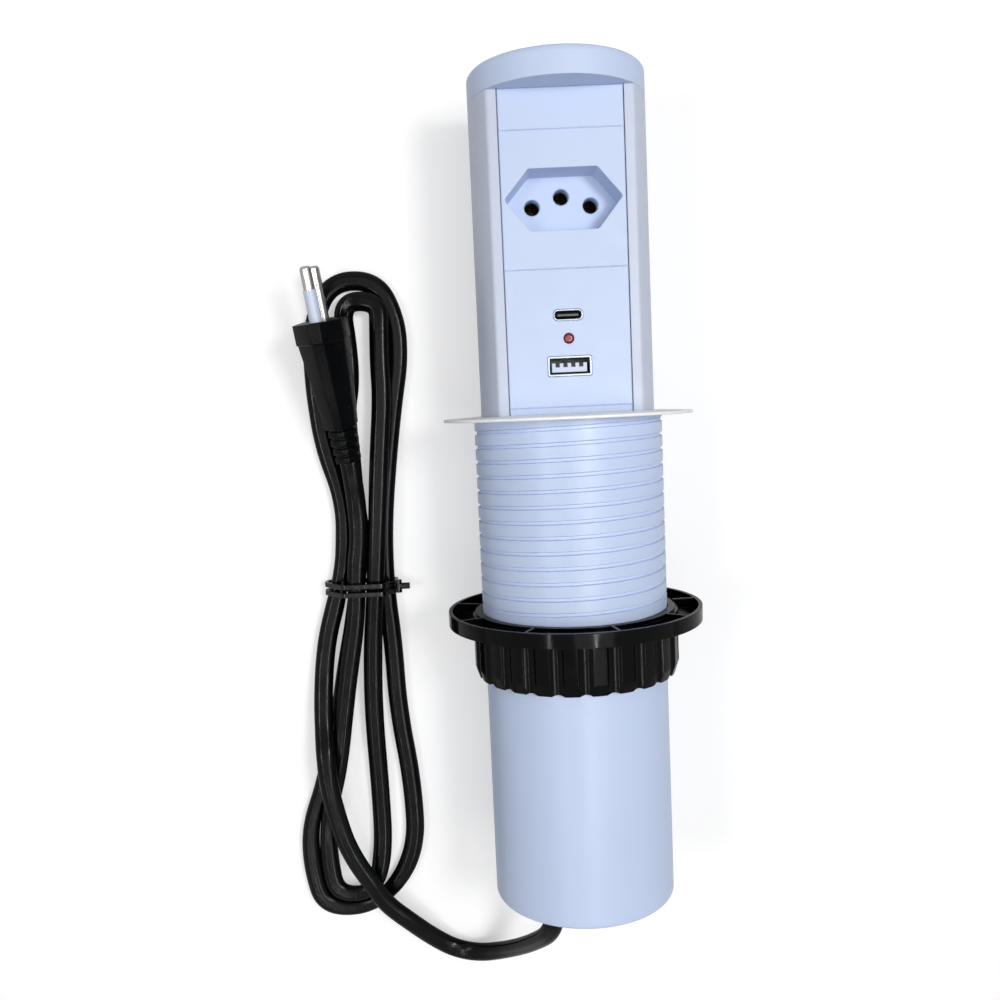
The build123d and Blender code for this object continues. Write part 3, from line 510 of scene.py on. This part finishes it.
@dataclass
class FlatTube:
    """A flat two-core cord along a line: a rounded section with a shallow groove between its cores."""

    name: str
    line: list[Vector]
    width: float = 0.0072
    least_width: float = 0.0053
    thickness: float = 0.005
    groove: float = 0.12
    sides: int = 28
    own_run: float = 0.026
    clearance: float = 0.00012
    layer_share: float = 1.02
    beside_share: float = 0.98
    window: int = 3
    girth_share: float = 2.6
    groove_width: float = 0.28
    least_side: float = 0.05
    weld: float = 1e-7

    def widths(self, points: np.ndarray, run: np.ndarray) -> np.ndarray:
        """Find the width that each place has room for beside the other strands.

        Args:
            points: The line's points.
            run: Length along the line at each point.

        Returns:
            The width at each point.
        """
        count = len(points)
        room = np.full(count, self.width)
        for index in range(count):
            apart = points - points[index]
            aside = np.hypot(apart[:, 0], apart[:, 1])
            over = np.abs(apart[:, 2]) / (self.thickness * self.layer_share)
            near = (over < self.beside_share) & (aside < 2 * self.width)
            other = (np.abs(run - run[index]) > self.own_run) & near
            if other.any():
                fits = aside[other] / np.sqrt(1 - over[other] ** 2)
                room[index] = min(self.width, fits.min() - self.clearance)
        room = np.maximum(room, self.least_width)
        for pick in (np.min, np.mean):
            padded = np.pad(room, self.window, mode="edge")
            room = np.array([pick(padded[k:k + 2 * self.window + 1]) for k in range(count)])
        return room

    def build(self, material: bpy.types.Material) -> bpy.types.Object:
        """Make the tube.

        Args:
            material: Its material.

        Returns:
            The piece, with its length and girth as its UV map.
        """
        points = np.array([tuple(point) for point in self.line])
        steps = np.linalg.norm(np.diff(points, axis=0), axis=1)
        run = np.concatenate([[0.0], np.cumsum(steps)])
        ways = np.gradient(points, axis=0)
        widths = self.widths(points, run)
        count = len(points)
        shape = bmesh.new()
        bmesh.ops.create_grid(shape, x_segments=count - 1, y_segments=self.sides, size=1.0)
        layer = shape.loops.layers.uv.new("UVMap")
        for face in shape.faces:
            for loop in face.loops:
                along = (loop.vert.co.x + 1) / 2 * run[-1]
                around = (loop.vert.co.y + 1) / 2 * self.girth_share * self.width
                loop[layer].uv = (along, around)
        for vertex in shape.verts:
            index = round((vertex.co.x + 1) / 2 * (count - 1))
            turn = (vertex.co.y + 1) * math.pi
            way = Vector(ways[index]).normalized()
            side = way.cross(Vector((0.0, 0.0, 1.0)))
            side = side.normalized() if side.length > self.least_side else Vector((1.0, 0.0, 0.0))
            up = side.cross(way)
            dip = 1 - self.groove * math.exp(-(math.cos(turn) / self.groove_width) ** 2)
            across = math.cos(turn) * widths[index] / 2
            tall = math.sin(turn) * self.thickness / 2 * dip
            vertex.co = Vector(points[index]) + side * across + up * tall
        bmesh.ops.remove_doubles(shape, verts=shape.verts[:], dist=self.weld)
        rims = [edge for edge in shape.edges if edge.is_boundary]
        bmesh.ops.holes_fill(shape, edges=rims, sides=self.sides + 1)
        bmesh.ops.recalc_face_normals(shape, faces=shape.faces[:])
        return piece_from(self.name, shape, material)


@dataclass
class Cord:
    """The free cord from the gland to the plug: a lead, then two pinched loops held by a tie."""

    jacket: str = "jacket"
    lead: list[Place] = field(default_factory=lambda: [
        (-0.0110, -0.16789, 0.04313), (-0.0110, -0.1770, 0.04313), (-0.0130, -0.1843, 0.0398),
        (-0.0172, -0.1910, 0.0323), (-0.0235, -0.1993, 0.0215), (-0.0310, -0.2064, 0.0113),
        (-0.0400, -0.2103, 0.0054), (-0.0495, -0.2089, 0.0037), (-0.0575, -0.2030, 0.0052),
        (-0.0642, -0.1961, 0.0079)])
    way_in: list[Station] = field(default_factory=lambda: [
        (-0.0715, -0.1893, 0.0090, 137), (-0.0817, -0.1736, 0.0110, 121), (-0.0899, -0.1538, 0.0126, 103),
        (-0.0935, -0.1302, 0.0146, 93), (-0.0945, -0.1090, 0.0090, 89), (-0.0926, -0.0848, 0.0050, 80)])
    first_loop: list[Station] = field(default_factory=lambda: [
        (-0.0865, -0.0615, 0.0043, 76), (-0.0834, -0.0389, 0.0040, 90), (-0.0903, 0.0039, 0.0030, 96),
        (-0.0913, 0.0256, 0.0030, 90), (-0.0742, 0.0533, 0.0030, 0), (-0.0593, 0.0298, 0.0030, -90),
        (-0.0630, 0.0026, 0.0030, -99), (-0.0686, -0.0519, 0.0045, -91), (-0.0669, -0.0952, 0.0030, -89),
        (-0.0625, -0.1566, 0.0030, -90), (-0.0913, -0.1901, 0.0030, 180), (-0.1038, -0.1651, 0.0030, 90),
        (-0.0945, -0.1310, 0.0030, 71), (-0.0873, -0.1015, 0.0030, 79)])
    loop_step: list[Station] = field(default_factory=lambda: [
        (0.0069, -0.0003, 0.0000, 8), (0.0066, -0.0003, 0.0000, 5), (0.0105, -0.0035, 0.0000, -3),
        (0.0134, -0.0058, 0.0000, 0), (0.0036, -0.0081, 0.0038, -3), (-0.0064, -0.0014, 0.0052, -2),
        (-0.0034, 0.0002, 0.0055, 3), (-0.0024, 0.0011, 0.0057, -4), (-0.0081, 0.0015, 0.0040, -4),
        (-0.0128, -0.0026, 0.0000, 0), (0.0032, 0.0063, 0.0016, 0), (0.0071, -0.0001, 0.0006, 0),
        (0.0043, 0.0017, 0.0050, 7), (0.0023, 0.0018, 0.0066, 1)])
    way_out: list[Station] = field(default_factory=lambda: [
        (-0.0790, -0.0607, 0.0104, 88), (-0.0770, -0.0354, 0.0104, 91), (-0.0782, -0.0129, 0.0154, 97)])
    turns: int = 2
    length: float = 1.303
    plug_heading: float = 97.0
    plug_rise: float = 8.5

    def plug_way(self) -> Vector:
        """Give the direction in which the plug points."""
        heading, rise = math.radians(self.plug_heading), math.radians(self.plug_rise)
        level = math.cos(rise)
        return Vector((math.cos(heading) * level, math.sin(heading) * level, math.sin(rise)))

    def stations(self) -> list[Station]:
        """Give the hank's stations: the way in, each loop and the way out."""
        found = list(self.way_in)
        for turn in range(self.turns):
            for place, step in zip(self.first_loop, self.loop_step):
                found.append(tuple(value + change * turn for value, change in zip(place, step)))
        return found + self.way_out

    def ways(self, stations: list[Station], first: Vector) -> list[Vector]:
        """Work out the cord's direction at each station.

        Args:
            stations: The stations.
            first: The direction in which the lead arrives.

        Returns:
            One direction for each station.
        """
        found = []
        for index, (_, _, _, heading) in enumerate(stations):
            slopes = []
            for a, b in ((index - 1, index), (index, index + 1)):
                if a >= 0 and b < len(stations):
                    run = math.hypot(stations[b][0] - stations[a][0], stations[b][1] - stations[a][1])
                    slopes.append((stations[b][2] - stations[a][2]) / run)
            slope = min(slopes, key=abs)
            if len(slopes) == 2 and slopes[0] * slopes[1] <= 0:
                slope = 0.0
            angle = math.radians(heading)
            found.append(Vector((math.cos(angle), math.sin(angle), slope)).normalized())
        found[0] = first
        found[-1] = self.plug_way()
        return found

    def route(self) -> Route:
        """Lay the cord's route from the gland to the plug."""
        lead = [tower(*place) for place in self.lead]
        stations = self.stations()
        places = [tower(*station[:3]) for station in stations]
        first = (places[0] - lead[-1]).normalized()
        hank = controls(places, self.ways(stations, first))
        return Route("cord_route", lead + hank + [places[-1]])

    def build(self, finishes: Finishes) -> tuple[bpy.types.Object, list[Vector]]:
        """Make the cord.

        Args:
            finishes: The finishes.

        Returns:
            The cord and the points that it follows.
        """
        line = self.route().line()
        piece = FlatTube("cord", line).build(finishes.material(self.jacket))
        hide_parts("cord_lead", "cord_hank")
        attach(piece, "barrel")
        run = sum((b - a).length for a, b in zip(line, line[1:]))
        bend, place = tightest_bend(line)
        log.info("cord: %d points, %.4f m long", len(line), run)
        log.info("cord: tightest bend %.4f m at %s", bend, tuple(place))
        return piece, line


@dataclass
class Plug:
    """The two-pin plug: ribbed strain relief, a body that widens, and a collar behind the pins."""

    end: Place = (-0.0782, -0.0129, 0.0154)
    relief: float = 0.013
    relief_end: Span = (0.0122, 0.0086)
    relief_wide: Span = (0.0142, 0.0098)
    relief_slot: float = 0.0012
    ribs: int = 4
    body: float = 0.031
    neck: Span = (0.0178, 0.0108)
    shoulder: Span = (0.0320, 0.0162)
    collar: float = 0.0072
    collar_size: Span = (0.0356, 0.0170)
    flat_share: float = 0.52
    end_share: float = 0.24
    soft: float = 0.0011
    rib_soft: float = 0.0004
    rib_end: float = 0.68
    slot_start: float = 0.7
    slot_end: float = 0.98
    collar_step: float = 0.0002

    def sections(self) -> list[tuple[float, Span]]:
        """List the sections along the plug as a place and a height and thickness."""
        pitch = self.relief / self.ribs
        found = []
        for index in range(self.ribs):
            low = index * pitch
            share = index / (self.ribs - 1)
            rib = tuple(a + (b - a) * share for a, b in zip(self.relief_end, self.relief_wide))
            core = tuple(value - self.relief_slot for value in rib)
            found += [(low, rib), (low + pitch * self.rib_end, rib)]
            found += [(low + pitch * self.slot_start, core), (low + pitch * self.slot_end, core)]
        body_end = self.relief + self.body
        middle = tuple((a + b) / 2 for a, b in zip(self.neck, self.shoulder))
        found += [(self.relief, self.neck), (self.relief + self.body / 2, middle), (body_end, self.shoulder)]
        found += [(body_end + self.collar_step, self.collar_size), (body_end + self.collar, self.collar_size)]
        return found

    def outline(self, size: Span) -> list[Vector]:
        """Give the long six-sided outline of one section."""
        height, thickness = size
        flat, end = height * self.flat_share / 2, thickness * self.end_share / 2
        return [
            Vector((height / 2, -end, 0)), Vector((height / 2, end, 0)), Vector((flat, thickness / 2, 0)),
            Vector((-flat, thickness / 2, 0)), Vector((-height / 2, end, 0)), Vector((-height / 2, -end, 0)),
            Vector((-flat, -thickness / 2, 0)), Vector((flat, -thickness / 2, 0))]

    def build(self, way: Vector, finishes: Finishes) -> bpy.types.Object:
        """Make the plug's body.

        Args:
            way: The direction in which the plug points.
            finishes: The finishes.

        Returns:
            The plug's body.
        """
        shape = bmesh.new()
        sections = self.sections()
        first_size = sections[0][1]
        corners = [shape.verts.new(corner) for corner in self.outline(first_size)]
        face = shape.faces.new(corners)
        size, place = first_size, 0.0
        for next_place, next_size in sections[1:]:
            made = bmesh.ops.extrude_face_region(shape, geom=[face])["geom"]
            verts = [item for item in made if isinstance(item, bmesh.types.BMVert)]
            if face.is_valid and place > 0:
                shape.faces.remove(face)
            face = next(item for item in made if isinstance(item, bmesh.types.BMFace))
            grow = Matrix.Diagonal((next_size[0] / size[0], next_size[1] / size[1], 1.0, 1.0))
            move = Matrix.Translation((0, 0, next_place)) @ grow @ Matrix.Translation((0, 0, -place))
            bmesh.ops.transform(shape, matrix=move, verts=verts)
            size, place = next_size, next_place
        bmesh.ops.recalc_face_normals(shape, faces=shape.faces[:])
        body = [edge for edge in shape.edges if all(v.co.z > self.relief - 1e-5 for v in edge.verts)]
        ribs = [edge for edge in shape.edges if edge not in set(body)]
        bmesh.ops.bevel(shape, geom=body, offset=self.soft, segments=4, profile=0.5, affect="EDGES",
                        material=-1, clamp_overlap=True)
        ribs = [edge for edge in ribs if edge.is_valid]
        bmesh.ops.bevel(shape, geom=ribs, offset=self.rib_soft, segments=2, profile=0.5, affect="EDGES",
                        material=-1, clamp_overlap=True)
        upright = (Vector((0, 0, 1)) - way * way.z).normalized()
        turn = Matrix((upright, way.cross(upright), way)).transposed().to_4x4()
        bmesh.ops.transform(shape, matrix=Matrix.Translation(tower(*self.end)) @ turn, verts=shape.verts[:])
        piece = piece_from("plug_shell", shape, finishes.material("grip"))
        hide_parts("plug_body")
        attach(piece, "barrel")
        dress({"plug_pins": "pin", "pin_sleeve": "port_white", "twist_tie": "tie"}, finishes)
        return piece


@dataclass
class SpareLead:
    """The loose coil of cord inside the barrel, built at one length; in the real socket it shortens as the
    column goes down.
    """

    low: float = -0.16049
    high: float = -0.0440
    radius: float = 0.0165
    turns: int = 2
    cord_radius: float = 0.0027
    keep: float = 0.139
    end_share: float = 5.0
    resolution: int = 8

    def build(self, finishes: Finishes) -> bpy.types.Object:
        """Make the coil.

        Args:
            finishes: The finishes.

        Returns:
            The coil.
        """
        quarters = self.turns * 4
        margin = self.cord_radius * self.end_share
        climb = self.high - self.low - 2 * margin
        places = [Vector((-GLAND_OFFSET, self.low + FORWARD, AXIS_HEIGHT))]
        ways = [Vector((0, 1, 0))]
        for quarter in range(quarters + 1):
            angle = math.pi + quarter * math.pi / 2
            level = self.low + margin + climb * quarter / quarters
            places.append(Vector((
                self.radius * math.cos(angle), level + FORWARD, AXIS_HEIGHT - self.radius * math.sin(angle))))
            rise = climb / (quarters * math.pi / 2 * self.radius)
            ways.append(Vector((-math.sin(angle), rise, -math.cos(angle))).normalized())
        places.append(Vector((0, self.high + FORWARD, AXIS_HEIGHT)))
        ways.append(Vector((0, 1, 0)))
        route = Route("spare_route", [places[0], *controls(places, ways), places[-1]], self.resolution)
        girth = 2 * self.cord_radius
        tube = FlatTube("spare_lead", route.line(), width=girth, least_width=girth)
        piece = tube.build(finishes.material("jacket"))
        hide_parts("inner_lead")
        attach(piece, "barrel")
        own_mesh(piece)
        return piece


@dataclass
class Tower:
    """The column, the barrel and what clamps them to the desk."""

    column: dict[str, str] = field(default_factory=lambda: {
        "column_shell": "white", "cap": "front", "blank_module": "front", "socket_module": "front",
        "charging_module": "front", "column_base": "front", "contact_carrier": "inner",
        "live_contact": "brass", "neutral_contact": "brass", "earth_contact": "brass",
        "type_a_shell": "steel", "type_a_tongue": "port_white", "type_a_contacts": "dark_metal",
        "type_c_shell": "steel", "type_c_tongue": "port_grey", "indicator_led": "red",
        "charger_board": "board", "transformer": "ferrite", "capacitors": "aluminium",
        "charger_cover": "inner", "friction_ring": "rubber", "cord_clamp": "inner",
        "clamp_screws": "steel", "live_wire": "brown", "neutral_wire": "blue"})
    desk_side: dict[str, str] = field(default_factory=lambda: {
        "desk_flange": "rim", "barrel": "tube", "guide_key": "white", "barrel_lid": "tube",
        "cord_gland": "black", "clamp_flange": "black", "lock_nut": "black"})

    def dress(self, finishes: Finishes) -> None:
        """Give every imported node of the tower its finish."""
        dress(self.column, finishes)
        dress(self.desk_side, finishes)


@dataclass
class Studio:
    """White surface, soft light from above and a camera at the photograph's place."""

    eye: Place = (-0.026984, 0.030629, 0.370194)
    right: Place = (0.99892, -0.04438, 0.01362)
    up: Place = (0.04547, 0.99448, -0.09459)
    forward: Place = (0.00935, -0.09511, -0.99542)
    lens: float = 34.84
    sky: float = 0.25
    sun: float = 0.95
    sun_spread: float = 40.0
    sun_from: Place = (0.2, -0.06, 1.0)
    windows: tuple[tuple[str, Place, float, float], ...] = (
        ("right_window", (0.36, 0.15, 0.95), 3.7, 0.2), ("left_window", (-0.5, 0.0, 0.85), 1.6, 0.2))
    strips: tuple[tuple[str, Place, float], ...] = (
        ("right_strip", (0.26, -0.1, 0.95), 6.0), ("left_strip", (-0.42, -0.1, 0.8), 3.0))
    strip_size: Span = (1.3, 0.022)
    floor_seen: float = 0.62
    floor_bounce: float = 0.72
    floor_glow: float = 0.42
    floor_fleck: Span = (900.0, 0.995)
    floor_reach: float = 3.0
    floor_drop: float = 0.0002
    sensor: float = 36.0
    nearest: float = 0.01

    def light(self) -> None:
        """Light the object: a white sky, a wide sun, two windows, and two strips seen only in gloss."""
        world = bpy.data.worlds.new("white_sky")
        world.use_nodes = True
        tree = world.node_tree
        tree.nodes.clear()
        output = tree.nodes.new("ShaderNodeOutputWorld")
        mix = tree.nodes.new("ShaderNodeMixShader")
        path = tree.nodes.new("ShaderNodeLightPath")
        for socket, strength in ((1, self.sky), (2, 1.0)):
            backdrop = tree.nodes.new("ShaderNodeBackground")
            backdrop.inputs["Color"].default_value = (1.0, 1.0, 1.0, 1.0)
            backdrop.inputs["Strength"].default_value = strength
            tree.links.new(backdrop.outputs[0], mix.inputs[socket])
        seen = path.outputs["Is Camera Ray"]
        for ray in ("Is Glossy Ray", "Is Transmission Ray"):
            either = tree.nodes.new("ShaderNodeMath")
            either.operation = "MAXIMUM"
            tree.links.new(seen, either.inputs[0])
            tree.links.new(path.outputs[ray], either.inputs[1])
            seen = either.outputs[0]
        tree.links.new(seen, mix.inputs[0])
        tree.links.new(mix.outputs[0], output.inputs["Surface"])
        bpy.context.scene.world = world
        self.lamp("sun", "SUN", self.sun_from, self.sun, angle=math.radians(self.sun_spread))
        for name, place, energy, size in self.windows:
            self.lamp(name, "AREA", place, energy, size=size)
        length, width = self.strip_size
        for name, place, energy in self.strips:
            strip = self.lamp(name, "AREA", place, energy, shape="RECTANGLE", size=length, size_y=width)
            strip.visible_diffuse = False

    def lamp(self, name: str, kind: str, place: Place, energy: float,
             **settings: float | str) -> bpy.types.Object:
        """Add a lamp that looks at the tower.

        Args:
            name: The lamp's name.
            kind: Its Blender type.
            place: Where it stands.
            energy: Its energy.
            **settings: More of its settings.

        Returns:
            The lamp.
        """
        data = bpy.data.lights.new(name, kind)
        data.energy = energy
        for key, value in settings.items():
            setattr(data, key, value)
        lamp = bpy.data.objects.new(name, data)
        lamp.location = place
        lamp.rotation_euler = (-Vector(place)).to_track_quat("-Z", "Y").to_euler()
        bpy.context.scene.collection.objects.link(lamp)
        return lamp

    def floor(self) -> None:
        """Lay the white surface under the object."""
        sheet = NodeSheet("white_surface")
        fleck_scale, fleck_share = self.floor_fleck
        fleck = sheet.noise(fleck_scale)
        seen = sheet.ramp(fleck, "Fac", (self.floor_seen * fleck_share,) * 3, (self.floor_seen,) * 3)
        path = sheet.add("ShaderNodeLightPath")
        mix = sheet.add("ShaderNodeMix", data_type="RGBA")
        sheet.join(path, "Is Camera Ray", mix, 0)
        mix.inputs[6].default_value = (*(self.floor_bounce,) * 3, 1.0)
        sheet.join(seen, "Color", mix, 7)
        sheet.join(mix, 2, sheet.shader, "Base Color")
        sheet.set(Roughness=0.9, Specular_IOR_Level=0.1, Emission_Color=(1.0, 1.0, 1.0, 1.0))
        glow = sheet.add("ShaderNodeMath", operation="MULTIPLY")
        glow.inputs[1].default_value = self.floor_glow
        sheet.join(path, "Is Camera Ray", glow, 0)
        sheet.join(glow, 0, sheet.shader, "Emission Strength")
        shape = bmesh.new()
        bmesh.ops.create_grid(shape, x_segments=4, y_segments=4, size=self.floor_reach)
        bmesh.ops.translate(shape, vec=(0, 0, -self.floor_drop), verts=shape.verts[:])
        piece_from("white_surface", shape, sheet.material, smooth=False)

    def camera(self) -> None:
        """Set up the camera."""
        data = bpy.data.cameras.new("camera")
        data.lens = self.lens
        data.sensor_width = self.sensor
        data.clip_start = self.nearest
        camera = bpy.data.objects.new("camera", data)
        axes = Matrix((Vector(self.right), Vector(self.up), -Vector(self.forward))).transposed()
        camera.matrix_world = Matrix.Translation(self.eye) @ axes.to_4x4()
        bpy.context.scene.collection.objects.link(camera)
        bpy.context.scene.camera = camera
        bpy.context.scene.view_settings.view_transform = "Standard"

    def build(self) -> None:
        """Set up the surface, the light and the camera."""
        self.floor()
        self.light()
        self.camera()


def main() -> None:
    """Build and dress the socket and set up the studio."""
    logging.basicConfig(level=logging.INFO, format="%(name)s: %(message)s")
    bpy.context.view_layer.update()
    finishes = Finishes()
    Tower().dress(finishes)
    SpareLead().build(finishes)
    route = Cord()
    cord, line = route.build(finishes)
    plug = Plug().build(route.plug_way(), finishes)
    Studio().build()


if __name__ == "__main__":
    main()
